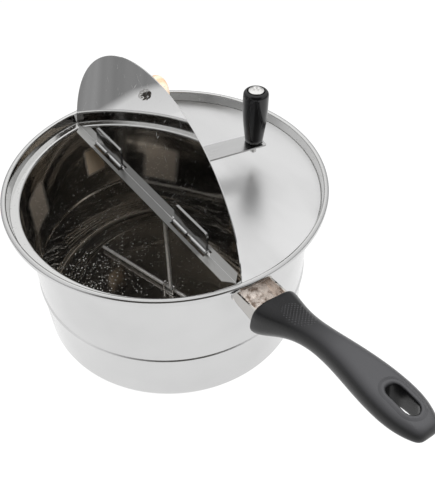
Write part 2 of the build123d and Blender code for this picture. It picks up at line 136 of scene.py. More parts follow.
def product(tree, *factors):
    # the factors multiplied together, as masks are where only their overlap counts
    total = factors[0]
    for factor in factors[1:]:
        total = addNode(tree, "Math", [total, factor], operation="MULTIPLY")
    return total


# materials: lengths that end in Mm are in mm, places and heights in metres, angles in radians

potLook = {
    "colour": "#cbcbcb", "worn": "#b8b8b8", "outside": 0.14, "inside": 0.075,  # roughness of each side
    "lineMm": 0.5, "lineTurn": 1.6, "smudgeMm": 45,
    "swell": (60, 1.2, 45), "swellDepth": 0.16,  # slow waves: per metre out, per radian round, per metre up
    "speckMm": 2.1, "speckEdge": (0.20, 0.32), "speckColour": "#f4f4f0", "speckCentre": (-0.060, -0.062, 0.0),
    "speckReachMm": 46, "speckCut": (0.47, 0.60), "speckHeights": (0.010, 0.10),
    "ringMm": 3.6, "ringFromMm": 98, "ringToMm": 111, "ringDepth": 0.55,
    "insideColour": "#e0e0df", "insideTint": "#d8d3cc", "tintBelow": 0.129, "haze": 0.008,
    "filmColour": "#e3cbac", "filmShare": 0.8,
    # each patch of film has an angle, a half width, a height, a half height and a strength
    "film": ((-2.985, 0.09, 0.091, 0.013, 1.0), (-2.26, 0.14, 0.095, 0.016, 0.55)),
}


def driedSpecks(tree, look, place, height):
    # small round dots, each kept or dropped by a fine noise: many near speckCentre, few on the wall
    cells = addNode(tree, "TexVoronoi", {"Vector": place, "Scale": 1000 / look["speckMm"]}, "Distance")
    dot = addNode(tree, "MapRange", [cells, *look["speckEdge"], 1.0, 0.0])
    kept = addNode(tree, "TexNoise", {"Vector": place, "Scale": 640.0, "Detail": 0.0}, "Fac")
    away = addNode(tree, "VectorMath", [place, look["speckCentre"]], "Value", operation="DISTANCE")
    reach = look["speckReachMm"] * mm
    cut = addNode(tree, "MapRange", [away, 0.4 * reach, reach, *look["speckCut"]])
    chosen = addNode(tree, "MapRange", [addNode(tree, "Math", [kept, cut], operation="SUBTRACT"), 0.0, 0.05, 0.0, 1.0])
    low = addNode(tree, "MapRange", [height, *look["speckHeights"], 1.0, 0.25])
    return product(tree, dot, chosen, low)


def brownFilm(tree, look, angle, height):
    # soft edged patches on the wall; where two meet, the stronger one counts
    film = None
    for turn, half, level, tall, strength in look["film"]:
        patch = product(tree, hump(tree, angle, turn, half * 0.8, half * 0.35),
                        hump(tree, height, level, tall, tall * 0.3), strength)
        film = patch if film is None else addNode(tree, "Math", [film, patch], operation="MAXIMUM")
    return film


def makePotSteel(look):
    # spun 18/10 stainless sheet, slightly wavy from the spinning roller. The outside is mopped: a soft white
    # sheen, fine lines round it and faint smudges. The inside keeps its bright spun surface, straw tinted and
    # very slightly hazed below the seat, with rings near the floor's edge, two patches of thin brown film of
    # old oil on the wall, and dried specks on the floor, which are drawn a little large so that they show
    material, tree, place = newMaterial("spunStainlessSheet")
    radius, angle, height = roundPlace(tree, place)
    perLine = 1 / (look["lineMm"] * mm)
    roundWays = addNode(tree, "CombineXYZ", [product(tree, radius, perLine), product(tree, angle, look["lineTurn"]),
                                             product(tree, height, perLine)])
    lines = addNode(tree, "TexNoise", {"Vector": roundWays, "Scale": 1.0, "Detail": 3.0, "Roughness": 0.6}, "Fac")
    smudges = addNode(tree, "TexNoise", {"Vector": place, "Scale": 1000 / look["smudgeMm"], "Detail": 4.0}, "Fac")
    # a face looks outwards or inwards by the sign of its normal along the radius
    normal = addNode(tree, "NewGeometry", out="Normal")
    outward = addNode(tree, "VectorMath", [addNode(tree, "VectorMath", [place, (1, 1, 0)], operation="MULTIPLY"),
                                           normal], "Value", operation="DOT_PRODUCT")
    outside = addNode(tree, "MapRange", [outward, -0.01, 0.02, 0.0, 1.0])
    inner = addNode(tree, "MapRange", [outward, -0.002, 0.004, 1.0, 0.0])
    specks = product(tree, driedSpecks(tree, look, place, height), inner)
    film = product(tree, brownFilm(tree, look, angle, height), inner, look["filmShare"])
    tinted = addNode(tree, "MapRange", [height, look["tintBelow"], look["tintBelow"] + 0.003, 1.0, 0.0])

    base = addNode(tree, "Mix", {0: addNode(tree, "MapRange", [smudges, 0.35, 0.75, 0.0, 0.35]),
                                 6: linearFromHex(look["colour"]), 7: linearFromHex(look["worn"])}, **colourMix)
    within = addNode(tree, "Mix", {0: tinted, 6: linearFromHex(look["insideColour"]),
                                   7: linearFromHex(look["insideTint"])}, **colourMix)
    base = addNode(tree, "Mix", {0: inner, 6: base, 7: within}, **colourMix)
    base = addNode(tree, "Mix", {0: film, 6: base, 7: linearFromHex(look["filmColour"])}, **colourMix)
    base = addNode(tree, "Mix", {0: specks, 6: base, 7: linearFromHex(look["speckColour"])}, **colourMix)
    sides = addNode(tree, "MapRange", [outside, 0.0, 1.0, look["inside"], look["outside"]])
    rough = product(tree, sides, addNode(tree, "MapRange", [lines, 0.3, 0.75, 0.7, 1.5]))
    rough = addNode(tree, "Math", [film, 0.30, rough], operation="MULTIPLY_ADD")
    rough = addNode(tree, "Math", [specks, 0.5, rough], operation="MULTIPLY_ADD")

    slow = addNode(tree, "CombineXYZ", [product(tree, way, scale) for way, scale in
                                        zip((radius, angle, height), look["swell"])])
    swell = addNode(tree, "TexNoise", {"Vector": slow, "Scale": 1.0, "Detail": 1.0}, "Fac")
    normal = addNode(tree, "Bump", {"Height": swell, "Strength": look["swellDepth"], "Distance": 0.0015})
    middle = (look["ringFromMm"] + look["ringToMm"]) / 2 * mm
    ringed = product(tree, hump(tree, radius, middle, (look["ringToMm"] - look["ringFromMm"]) / 2 * mm, 0.002),
                     addNode(tree, "MapRange", [height, 0.002, 0.004, 1.0, 0.0]), inner)
    ridge = addNode(tree, "Math", [product(tree, radius, 2 * math.pi / (look["ringMm"] * mm))], operation="SINE")
    normal = addNode(tree, "Bump", {"Height": product(tree, ridge, ringed), "Strength": look["ringDepth"],
                                    "Distance": 0.0004, "Normal": normal})
    normal = addNode(tree, "Bump", {"Height": lines, "Strength": 0.05, "Distance": 0.0001, "Normal": normal})
    normal = addNode(tree, "Bump", {"Height": specks, "Strength": 0.8, "Distance": 0.0005, "Normal": normal})
    # specks and film aren't metal, and a thin haze over the tinted part lets it take a little stray light
    dull = addNode(tree, "Math", [addNode(tree, "Math", [specks, product(tree, film, 0.8)], operation="MAXIMUM"),
                                  product(tree, tinted, inner, look["haze"])], operation="MAXIMUM")
    metal = addNode(tree, "Math", [1.0, dull], operation="SUBTRACT")
    return finishMaterial(material, {"Base Color": base, "Roughness": rough, "Metallic": metal, "Normal": normal})


# the lid's strip colours are painted shade: the bent down strip by the hinge is drawn greyer, and paler at its ends
lidLook = {"colour": "#ececec", "worn": "#dadada", "rough": 0.32, "lineMm": 0.45, "wave": 0.05, "stripMm": -19.2,
           "stripColour": "#8a8a89", "stripEnd": "#bcbcba", "stripEndMm": 84, "stripFadeMm": 4, "stripEdgeMm": 0.2}
hingeLook = {"colour": "#c9c9c9", "worn": "#9d9c9b", "rough": 0.16, "lineMm": 0.4, "wave": 0.05}
armLook = {"colour": "#cfcfcf", "worn": "#b3b2b1", "rough": 0.22, "lineMm": 0.4, "wave": 0.03}
sheetMarks = {"lineStretch": 0.02, "wipes": (9, 26, 20), "buckles": 11.0}  # for all three, the last two per metre


def shadedHingeStrip(tree, look, laid, base):
    # painted shade: the lid's bent down strip along the hinge is drawn greyer than its top, as if in shade, and paler
    # again at its two ends
    x, y, z = addNode(tree, "SeparateXYZ", [laid]).node.outputs
    out = addNode(tree, "Math", [x], operation="ABSOLUTE")
    ends = addNode(tree, "MapRange", [out, (look["stripEndMm"] - look["stripFadeMm"]) * mm, look["stripEndMm"] * mm,
                                      0.0, 1.0])
    shadedStrip = addNode(tree, "Mix", {0: ends, 6: linearFromHex(look["stripColour"]), 7: linearFromHex(look["stripEnd"])},
                    **colourMix)
    front = addNode(tree, "MapRange", [y, look["stripMm"] * mm, (look["stripMm"] - look["stripEdgeMm"]) * mm, 0.0, 1.0])
    return addNode(tree, "Mix", {0: front, 6: base, 7: shadedStrip}, **colourMix)


def makeSheetSteel(name, look, turn=0.0):
    # cold rolled stainless sheet, brushed one way: long fine lines, and smears where it was wiped. The pattern
    # is turned to lie along the piece first and stretched after that
    material, tree, place = newMaterial(name)
    perLine = 1 / (look["lineMm"] * mm)
    laid = addNode(tree, "Mapping", {"Vector": place, "Rotation": (0, 0, -turn)})
    along = addNode(tree, "Mapping", {"Vector": laid, "Scale": (perLine * sheetMarks["lineStretch"], perLine, perLine)})
    brushed = addNode(tree, "TexNoise", {"Vector": along, "Scale": 1.0, "Detail": 3.0, "Roughness": 0.65}, "Fac")
    wiped = addNode(tree, "Mapping", {"Vector": laid, "Scale": sheetMarks["wipes"]})
    smear = addNode(tree, "TexNoise", {"Vector": wiped, "Scale": 1.0, "Detail": 3.0, "Roughness": 0.55}, "Fac")
    base = addNode(tree, "Mix", {0: addNode(tree, "MapRange", [smear, 0.4, 0.75, 0.0, 0.4]),
                                 6: linearFromHex(look["colour"]), 7: linearFromHex(look["worn"])}, **colourMix)
    # painted shade on the strip along the hinge
    if "stripMm" in look:
        base = shadedHingeStrip(tree, look, laid, base)
    rough = addNode(tree, "Math", [
        addNode(tree, "MapRange", [brushed, 0.25, 0.75, look["rough"] * 0.85, look["rough"] * 1.15]),
        addNode(tree, "MapRange", [smear, 0.45, 0.8, 0.0, look["rough"] * 0.5])])
    buckle = addNode(tree, "TexNoise", {"Vector": place, "Scale": sheetMarks["buckles"], "Detail": 1.0}, "Fac")
    normal = addNode(tree, "Bump", {"Height": buckle, "Strength": look["wave"], "Distance": 0.003})
    normal = addNode(tree, "Bump", {"Height": brushed, "Strength": 0.04, "Distance": 0.0001, "Normal": normal})
    return finishMaterial(material, {"Base Color": base, "Roughness": rough, "Metallic": 1.0, "Normal": normal})


bracketLook = {"colour": "#d6d3cf", "inside": "#f1e6dd", "tint": "#6b513c", "rough": 0.10, "insideRough": 0.26,
               "blotchMm": 6, "blotchFrom": (0.50, 0.64), "blotchShare": 0.8, "insideHalf": 0.0134, "haze": 0.45}


def makeBracketSteel(look):
    # pressed and polished stainless sheet: mirror bright outside. The channel's floor is hazed by the weld's
    # heat, so it looks pale and matt, with brown blotches painted on it as painted reflection
    material, tree, place = newMaterial("pressedBracketSheet")
    y = addNode(tree, "SeparateXYZ", [place], 1)
    channel = hump(tree, y, 0.0, look["insideHalf"] - 0.0002, 0.0002)
    blotch = addNode(tree, "TexNoise", {"Vector": place, "Scale": 1000 / look["blotchMm"], "Detail": 4.0,
                                        "Roughness": 0.65}, "Fac")
    # painted reflection: brown blotches in the channel stand in for mottled brown reflections there
    reflectedBlotches = product(tree, channel, addNode(tree, "MapRange", [blotch, *look["blotchFrom"], 0.0, look["blotchShare"]]))
    base = addNode(tree, "Mix", {0: channel, 6: linearFromHex(look["colour"]), 7: linearFromHex(look["inside"])},
                   **colourMix)
    base = addNode(tree, "Mix", {0: reflectedBlotches, 6: base, 7: linearFromHex(look["tint"])}, **colourMix)
    rough = addNode(tree, "MapRange", [channel, 0.0, 1.0, look["rough"], look["insideRough"]])
    rough = addNode(tree, "Math", [reflectedBlotches, 0.15, rough], operation="MULTIPLY_ADD")
    normal = addNode(tree, "Bump", {"Height": blotch, "Strength": 0.25, "Distance": 0.0008})
    metal = addNode(tree, "Math", [channel, -look["haze"], 1.0], operation="MULTIPLY_ADD")
    return finishMaterial(material, {"Base Color": base, "Roughness": rough, "Metallic": metal, "Normal": normal})


flapLook = {"colour": "#d4d4d4", "mark": "#bfbfbd", "rough": 0.030, "hairMm": 0.55, "hairLongMm": 9,
            "hairTurns": (0.5, -0.6), "dustMm": 5, "wave": 0.035}


def makeFlapSteel(look):
    # bright annealed stainless sheet: nearly a mirror, with a few hairlines, dust and a slight buckle
    material, tree, place = newMaterial("brightAnnealedSheet")
    smear = addNode(tree, "TexNoise", {"Vector": addNode(tree, "Mapping", {"Vector": place, "Scale": (16, 16, 9)}),
                                       "Scale": 1.0, "Detail": 3.0, "Roughness": 0.6}, "Fac")
    across, along = 1000 / look["hairMm"], 1000 / look["hairLongMm"]
    hairs = None
    for turn in look["hairTurns"]:
        laid = addNode(tree, "Mapping", {"Vector": place, "Rotation": (0, turn, 0)})
        lain = addNode(tree, "Mapping", {"Vector": laid, "Scale": (across, along, along)})
        one = addNode(tree, "TexNoise", {"Vector": lain, "Scale": 1.0, "Detail": 0.0}, "Fac")
        one = addNode(tree, "MapRange", [one, 0.82, 0.86, 0.0, 1.0])
        hairs = one if hairs is None else addNode(tree, "Math", [hairs, one], operation="MAXIMUM")
    dust = addNode(tree, "TexVoronoi", {"Vector": place, "Scale": 1000 / look["dustMm"]}, "Distance")
    kept = addNode(tree, "TexNoise", {"Vector": place, "Scale": 210.0, "Detail": 0.0}, "Fac")
    grain = product(tree, addNode(tree, "MapRange", [dust, 0.05, 0.11, 1.0, 0.0]),
                    addNode(tree, "MapRange", [kept, 0.56, 0.60, 0.0, 1.0]))
    marks = product(tree, addNode(tree, "Math", [hairs, grain], operation="MAXIMUM"), 0.7)
    base = addNode(tree, "Mix", {0: marks, 6: linearFromHex(look["colour"]), 7: linearFromHex(look["mark"])},
                   **colourMix)
    rough = addNode(tree, "MapRange", [smear, 0.35, 0.8, look["rough"] * 0.7, look["rough"] * 2.2])
    rough = addNode(tree, "Math", [marks, 0.4, rough], operation="MULTIPLY_ADD")
    metal = addNode(tree, "Math", [marks, -0.6, 1.0], operation="MULTIPLY_ADD")
    buckle = addNode(tree, "TexNoise", {"Vector": place, "Scale": 6.0, "Detail": 1.0}, "Fac")
    normal = addNode(tree, "Bump", {"Height": buckle, "Strength": look["wave"], "Distance": 0.01})
    return finishMaterial(material, {"Base Color": base, "Roughness": rough, "Metallic": metal, "Normal": normal})


fastenerLook = {"name": "nickelPlatedSteel", "colour": "#d6d5d3", "knock": "#8b8987", "rough": 0.17}
capLook = {"name": "polishedNickelCap", "colour": "#f6f5f3", "knock": "#d9d8d6", "rough": 0.20}


def makePlatedSteel(look):
    # turned and nickel plated steel: bright, finely grained by the plating, with a few dull knocks
    material, tree, place = newMaterial(look["name"])
    knocks = addNode(tree, "TexNoise", {"Vector": place, "Scale": 420.0, "Detail": 3.0, "Roughness": 0.6}, "Fac")
    fine = addNode(tree, "TexNoise", {"Vector": place, "Scale": 2600.0, "Detail": 1.0}, "Fac")
    base = addNode(tree, "Mix", {0: addNode(tree, "MapRange", [knocks, 0.4, 0.8, 0.0, 0.5]),
                                 6: linearFromHex(look["colour"]), 7: linearFromHex(look["knock"])}, **colourMix)
    rough = addNode(tree, "MapRange", [knocks, 0.3, 0.8, look["rough"] * 0.7, look["rough"] * 1.8])
    normal = addNode(tree, "Bump", {"Height": knocks, "Strength": 0.10, "Distance": 0.0002})
    normal = addNode(tree, "Bump", {"Height": fine, "Strength": 0.12, "Distance": 0.00005, "Normal": normal})
    return finishMaterial(material, {"Base Color": base, "Roughness": rough, "Metallic": 1.0, "Normal": normal})


wireLook = {"colour": "#efeeec", "dull": "#bdbbb8", "rough": 0.40, "lineMm": 0.35, "metal": 0.75}


def makeWireSteel(look):
    # drawn stainless wire: a fine die grain that blurs its highlight, duller spots and a thin haze of oil
    material, tree, place = newMaterial("drawnStainlessWire")
    grain = addNode(tree, "TexNoise", {"Vector": place, "Scale": 1000 / look["lineMm"], "Detail": 3.0,
                                       "Roughness": 0.6}, "Fac")
    spots = addNode(tree, "TexNoise", {"Vector": place, "Scale": 180.0, "Detail": 2.0}, "Fac")
    base = addNode(tree, "Mix", {0: addNode(tree, "MapRange", [spots, 0.45, 0.8, 0.0, 0.6]),
                                 6: linearFromHex(look["colour"]), 7: linearFromHex(look["dull"])}, **colourMix)
    rough = addNode(tree, "MapRange", [grain, 0.3, 0.75, look["rough"] * 0.7, look["rough"] * 1.4])
    normal = addNode(tree, "Bump", {"Height": grain, "Strength": 0.15, "Distance": 0.00006})
    return finishMaterial(material, {"Base Color": base, "Roughness": rough, "Metallic": look["metal"],
                                     "Normal": normal})


handleLook = {
    # the third colour is painted light: the grey the handle's top is drawn in, as if lit from above
    "colour": "#0c0c0d", "dust": "#161617", "worn": "#48484a", "rough": 0.27, "grainMm": 0.35,
    # painted light: the handle's top is drawn grey, as if lit from above, less so towards its front end
    "wornFrom": (0.172, 0.215),  # places along the handle between which its top turns grey
    "dotMm": 2.0, "dotEdge": (0.16, 0.34), "padCentre": (0.1755, 0.0), "padHalf": (0.0145, 0.0085), "padDot": "#4c4c4e",
    # the hanging hole: the handle's slope there, the hole's place along it, half its straight part, and the lip
    "eyeSlope": (0.9489, 0.3157), "eyeAlong": 0.3034, "eyeStraight": 0.0058, "lipFrom": 0.0062, "lipHalf": 0.0006,
    "lipSoft": 0.0018,
}


def padDots(tree, look, place, x, y):
    # round dots on a grid turned by 45 degrees, inside an oval
    lattice = []
    perDot = 1 / (look["dotMm"] * mm * math.sqrt(2))
    for operation in ("ADD", "SUBTRACT"):
        slanted = product(tree, addNode(tree, "Math", [x, y], operation=operation), perDot)
        part = addNode(tree, "Math", [addNode(tree, "Math", [slanted], operation="FRACT"), 0.5], operation="SUBTRACT")
        lattice.append(part)
    away = addNode(tree, "VectorMath", [addNode(tree, "CombineXYZ", lattice)], "Value", operation="LENGTH")
    (centreX, centreY), (halfX, halfY) = look["padCentre"], look["padHalf"]
    shifted = addNode(tree, "VectorMath", [place, (centreX, centreY, 0)], operation="SUBTRACT")
    scaled = addNode(tree, "VectorMath", [shifted, (1 / halfX, 1 / halfY, 0)], operation="MULTIPLY")
    oval = addNode(tree, "VectorMath", [scaled], "Value", operation="LENGTH")
    return product(tree, addNode(tree, "MapRange", [away, *look["dotEdge"], 1.0, 0.0]),
                   addNode(tree, "MapRange", [oval, 0.92, 1.0, 1.0, 0.0]))


def eyeLip(tree, look, place, y):
    # a ridge at an even distance from the hole's middle line, which is a short straight along the handle
    slopeX, slopeZ = look["eyeSlope"]
    along = addNode(tree, "VectorMath", [place, (slopeX, 0, slopeZ)], "Value", operation="DOT_PRODUCT")
    along = addNode(tree, "Math", [along, look["eyeAlong"]], operation="SUBTRACT")
    along = addNode(tree, "Math", [along], operation="ABSOLUTE")
    along = addNode(tree, "Math", [along, look["eyeStraight"]], operation="SUBTRACT")
    along = addNode(tree, "Math", [along, 0.0], operation="MAXIMUM")
    around = addNode(tree, "VectorMath", [addNode(tree, "CombineXYZ", [along, y])], "Value", operation="LENGTH")
    return hump(tree, around, look["lipFrom"], look["lipHalf"], look["lipSoft"])


def makeHandlePlastic(look):
    # moulded phenolic: satin black with the mould's fine spark grain, with painted light on its upward faces,
    # drawn greyer as if lit from above, an oval patch of small raised dots and a raised lip round the hanging hole
    material, tree, place = newMaterial("mouldedPhenolic")
    grain = addNode(tree, "TexNoise", {"Vector": place, "Scale": 1000 / look["grainMm"], "Detail": 2.0,
                                       "Roughness": 0.6}, "Fac")
    wiped = addNode(tree, "TexNoise", {"Vector": addNode(tree, "Mapping", {"Vector": place, "Scale": (18, 60, 40)}),
                                       "Scale": 1.0, "Detail": 2.0}, "Fac")
    up = addNode(tree, "SeparateXYZ", [addNode(tree, "NewGeometry", out="Normal")], 2)
    x, y, z = addNode(tree, "SeparateXYZ", [place]).node.outputs
    # painted light: faces that look up are drawn grey, as if lit from above, fading towards the front end
    litTop = product(tree, addNode(tree, "MapRange", [up, 0.40, 0.98, 0.0, 1.0]),
                      addNode(tree, "MapRange", [x, *look["wornFrom"], 0.12, 1.0]))
    dots = product(tree, padDots(tree, look, place, x, y), addNode(tree, "MapRange", [up, 0.3, 0.6, 0.0, 1.0]))
    lip = product(tree, eyeLip(tree, look, place, y), addNode(tree, "MapRange", [up, 0.2, 0.5, 0.0, 1.0]))
    base = addNode(tree, "Mix", {0: addNode(tree, "MapRange", [wiped, 0.45, 0.8, 0.0, 0.6]),
                                 6: linearFromHex(look["colour"]), 7: linearFromHex(look["dust"])}, **colourMix)
    # painted light: the lit grey is laid over the top
    base = addNode(tree, "Mix", {0: litTop, 6: base, 7: linearFromHex(look["worn"])}, **colourMix)
    base = addNode(tree, "Mix", {0: product(tree, dots, 0.8), 6: base, 7: linearFromHex(look["padDot"])}, **colourMix)
    rough = addNode(tree, "Math", [
        addNode(tree, "MapRange", [grain, 0.3, 0.7, look["rough"] * 0.85, look["rough"] * 1.15]),
        addNode(tree, "MapRange", [wiped, 0.3, 0.8, 0.08, -0.05])])
    normal = addNode(tree, "Bump", {"Height": grain, "Strength": 0.14, "Distance": 0.0001})
    normal = addNode(tree, "Bump", {"Height": dots, "Strength": 0.9, "Distance": 0.0006, "Normal": normal})
    normal = addNode(tree, "Bump", {"Height": lip, "Strength": 0.8, "Distance": 0.0012, "Normal": normal})
    return finishMaterial(material, {"Base Color": base, "Roughness": rough, "Normal": normal, "IOR": 1.5,
                                     "Specular IOR Level": 0.28})


gripLook = {"colour": "#08080a", "rough": 0.12}


def makeGripPlastic(look):
    # polished black phenolic: a wet looking gloss with wipe marks
    material, tree, place = newMaterial("polishedPhenolic")
    wiped = addNode(tree, "TexNoise", {"Vector": addNode(tree, "Mapping", {"Vector": place, "Scale": (120, 120, 40)}),
                                       "Scale": 1.0, "Detail": 3.0}, "Fac")
    wavy = addNode(tree, "TexNoise", {"Vector": place, "Scale": 500.0, "Detail": 2.0}, "Fac")
    rough = addNode(tree, "MapRange", [wiped, 0.3, 0.8, look["rough"] * 0.6, look["rough"] * 1.9])
    normal = addNode(tree, "Bump", {"Height": wavy, "Strength": 0.05, "Distance": 0.0002})
    return finishMaterial(material, {"Base Color": linearFromHex(look["colour"]), "Roughness": rough, "Normal": normal,
                                     "IOR": 1.45, "Coat Weight": 0.15, "Coat Roughness": 0.05})


woodLook = {"pale": "#f8e0c8", "dark": "#d8b189", "fleck": "#9a6d45", "ringMm": 8.168, "fleckScale": (2200, 420, 2200),
            "rough": 0.45}


def makeKnobWood(look, centre):
    # turned and waxed beech: pale tan with broad soft rings and short darker flecks along the grain. A wave
    # texture of scale 1 repeats every pi / 10, which gives the rings' scale
    material, tree, place = newMaterial("turnedBeech")
    moved = addNode(tree, "Mapping", {"Vector": place, "Location": tuple(-c for c in centre)})
    warp = addNode(tree, "TexNoise", {"Vector": moved, "Scale": 90.0, "Detail": 2.0}, "Fac")
    rings = addNode(tree, "TexWave", {"Vector": moved, "Scale": math.pi / 10 / (look["ringMm"] * mm),
                                      "Distortion": 2.2, "Detail": 2.0, "Detail Scale": 1.5}, "Fac",
                    wave_type="BANDS", bands_direction="X")
    grained = addNode(tree, "Mapping", {"Vector": moved, "Scale": look["fleckScale"]})
    pored = addNode(tree, "TexNoise", {"Vector": grained, "Scale": 1.0, "Detail": 2.0}, "Fac")
    flecks = addNode(tree, "MapRange", [pored, 0.58, 0.70, 0.0, 1.0])
    tone = addNode(tree, "Math", [rings, 0.6, product(tree, warp, 0.4)], operation="MULTIPLY_ADD")
    base = addNode(tree, "Mix", {0: addNode(tree, "MapRange", [tone, 0.2, 0.9, 0.0, 0.8]),
                                 6: linearFromHex(look["pale"]), 7: linearFromHex(look["dark"])}, **colourMix)
    base = addNode(tree, "Mix", {0: product(tree, flecks, 0.5), 6: base, 7: linearFromHex(look["fleck"])}, **colourMix)
    rough = addNode(tree, "MapRange", [warp, 0.3, 0.7, look["rough"] * 0.85, look["rough"] * 1.2])
    normal = addNode(tree, "Bump", {"Height": flecks, "Strength": 0.15, "Distance": 0.0002})
    return finishMaterial(material, {"Base Color": base, "Roughness": rough, "Normal": normal})


def middleOf(node):
    low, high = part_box(node)
    return [(a + b) / 2 for a, b in zip(low, high)]


# the brushed pieces' turns are the angles at which they lie in plan, in radians
finishes = {
    "pot_steel": makePotSteel(potLook),
    "lid_steel": makeFlapSteel(flapLook),
    "hinge_steel": makeSheetSteel("polishedHingeSheet", hingeLook, 0.07),
    "bracket_steel": makeBracketSteel(bracketLook),
    "arm_steel": makeSheetSteel("brushedArmStrip", armLook, 1.42),
    "wire_steel": makeWireSteel(wireLook),
    "fastener_steel": makePlatedSteel(fastenerLook),
    "handle_plastic": makeHandlePlastic(handleLook),
    "grip_plastic": makeGripPlastic(gripLook),
    "knob_wood": makeKnobWood(woodLook, middleOf("flap_knob")),
}
ownFinishes = {
    "lid_plate": makeSheetSteel("brushedLidSheet", lidLook, 0.066),
    "grip_spindle": makePlatedSteel(capLook),
}
print("materials made:", len(finishes) + len(ownFinishes))


# pieces

def meshObject(name, points, faces, smooth=True):
    data = bpy.data.meshes.new(name)
    data.from_pydata(points.tolist(), [], faces)
    data.validate()
    data.shade_smooth() if smooth else data.shade_flat()
    piece = bpy.data.objects.new(name, data)
    scene.collection.objects.link(piece)
    return piece


def pointsOf(data):
    # the mesh's points as rows of x, y and z, in metres
    points = np.empty(len(data.vertices) * 3)
    data.vertices.foreach_get("co", points)
    return points.reshape(-1, 3)


def movePoints(data, points):
    data.vertices.foreach_set("co", points.ravel())
    data.update()


def loopWalls(rows, columns):
    # quads between neighbouring rows of a grid that closes on itself both ways
    i = np.arange(rows)[:, None]
    j = np.arange(columns)[None, :]
    k = (i + 1) % rows
    n = (j + 1) % columns
    return np.stack([i * columns + j, i * columns + n, k * columns + n, k * columns + j], -1).reshape(-1, 4).tolist()


def filletedLine(corners, radii, step=0.25):
    # a bent line: straight runs joined by arcs of the given radii, as points a step apart. An arc's centre lies
    # on the bisector of its corner, at radius / sin(half the corner's angle) from it
    corners = np.array(corners, float)
    points = [corners[0]]
    for a, b, c, radius in zip(corners, corners[1:], corners[2:], radii):
        u = (a - b) / np.linalg.norm(a - b)
        v = (c - b) / np.linalg.norm(c - b)
        half = math.acos(np.clip(u @ v, -1, 1)) / 2
        reach = radius / math.tan(half)
        centre = b + (u + v) / np.linalg.norm(u + v) * radius / math.sin(half)
        start = b + u * reach - centre
        end = b + v * reach - centre
        sweep = math.atan2(start[0] * end[1] - start[1] * end[0], start @ end)
        turns = np.linspace(0, sweep, max(4, int(abs(sweep) * radius / step) + 2))
        cos, sin = np.cos(turns), np.sin(turns)
        points.extend(centre + np.stack([start[0] * cos - start[1] * sin, start[0] * sin + start[1] * cos], 1))
    points.append(corners[-1])
    return np.array(points)


def sheetLoop(line, sheet):
    # the closed outline of a sheet whose middle is the line: the line moved by half a sheet to both sides
    along = np.gradient(line, axis=0)
    along /= np.linalg.norm(along, axis=1)[:, None]
    side = np.stack([-along[:, 1], along[:, 0]], 1) * sheet / 2
    return np.concatenate([line + side, (line - side)[::-1]])


def turned(name, profile, steps, centre=(0, 0), carve=None):
    # a closed profile of radius and height, in mm, carried round an upright axis; carve lowers points of it
    angles = np.linspace(0, 2 * math.pi, steps, endpoint=False)
    r, z = profile[:, 0][:, None], profile[:, 1][:, None]
    grid = np.stack([r * np.cos(angles), r * np.sin(angles), np.broadcast_to(z, (len(profile), steps))], -1)
    if carve:
        grid = carve(grid)
    grid = grid * mm + np.array([*centre, 0])
    piece = meshObject(name, grid.reshape(-1, 3), loopWalls(len(profile), steps))
    mesh = bmesh.new()
    mesh.from_mesh(piece.data)
    bmesh.ops.remove_doubles(mesh, verts=mesh.verts, dist=1e-6)
    bmesh.ops.recalc_face_normals(mesh, faces=mesh.faces)
    mesh.to_mesh(piece.data)
    mesh.free()
    piece.data.shade_smooth()
    return piece


def finishPiece(piece, node):
    # the new piece takes the place and the body of its CAD node, and its own finish or its slot's
    piece.data.materials.clear()
    piece.data.materials.append(ownFinishes.get(node) or finishes[slotOf[node]])
    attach(piece, bodyOf[node])
    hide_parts(node)


plainEdge = 0.15  # width in mm of the small bevel that breaks a piece's sharp edges
edgeWidths = {"crank_grip": 0, "flap_knob": 0, "lid_flap": 0.12, "lid_plate": 0.12}
sharpFrom = math.radians(32)  # edges that bend by more than this are sharp


def smoothCopy(node, edge):
    # the CAD node's own shape, merged and shaded smooth, with its sharp edges broken by a small bevel
    data = cadNodes[node].data.copy()
    mesh = bmesh.new()
    mesh.from_mesh(data)
    bmesh.ops.remove_doubles(mesh, verts=mesh.verts, dist=2e-6)
    bmesh.ops.dissolve_degenerate(mesh, edges=mesh.edges, dist=1e-6)
    mesh.to_mesh(data)
    mesh.free()
    data.name = node + "Mesh"
    piece = bpy.data.objects.new(node.replace("_", "") + "Made", data)
    scene.collection.objects.link(piece)
    data.shade_smooth()
    data.set_sharp_from_angle(angle=sharpFrom)
    if edge:
        bevel = piece.modifiers.new("edge", "BEVEL")
        bevel.width = edge * mm
        bevel.segments = 2
        bevel.limit_method = "ANGLE"
        bevel.angle_limit = sharpFrom
        bevel.harden_normals = True
        bevel.use_clamp_overlap = True
    return piece


def softCopy(node, look):
    # the CAD node's solid drawn again on a fine even grid, then each point moved to the mean of its
    # neighbours a number of times, which rounds every edge as a mould does. Near the crisp place the points
    # move in the first few rounds only, so the edge there stays sharper
    piece = smoothCopy(node, 0)
    grid = piece.modifiers.new("grid", "REMESH")
    grid.mode = "VOXEL"
    grid.voxel_size = look["gridMm"] * mm
    even = bpy.data.meshes.new_from_object(piece.evaluated_get(bpy.context.evaluated_depsgraph_get()))
    piece.modifiers.clear()
    piece.data = even
    points = pointsOf(even)
    edges = np.empty(len(even.edges) * 2, int)
    even.edges.foreach_get("vertices", edges)
    edges = edges.reshape(-1, 2)
    here, there = np.concatenate([edges, edges[:, ::-1]]).T
    neighbours = np.bincount(here, minlength=len(points))
    away = np.linalg.norm(points[:, :2] - np.array(look["crisp"]) * mm, axis=1) / mm
    still = np.clip((look["crispReach"] - away) / look["crispReach"] * 3, 0, 1)
    for turn in range(look["rounds"]):
        held = still * (turn >= look["crispRounds"])
        mean = np.stack([np.bincount(here, points[there, axis], len(points)) / neighbours for axis in range(3)], -1)
        points = mean + (points - mean) * held[:, None]
    movePoints(even, points)
    even.shade_smooth()
    return piece


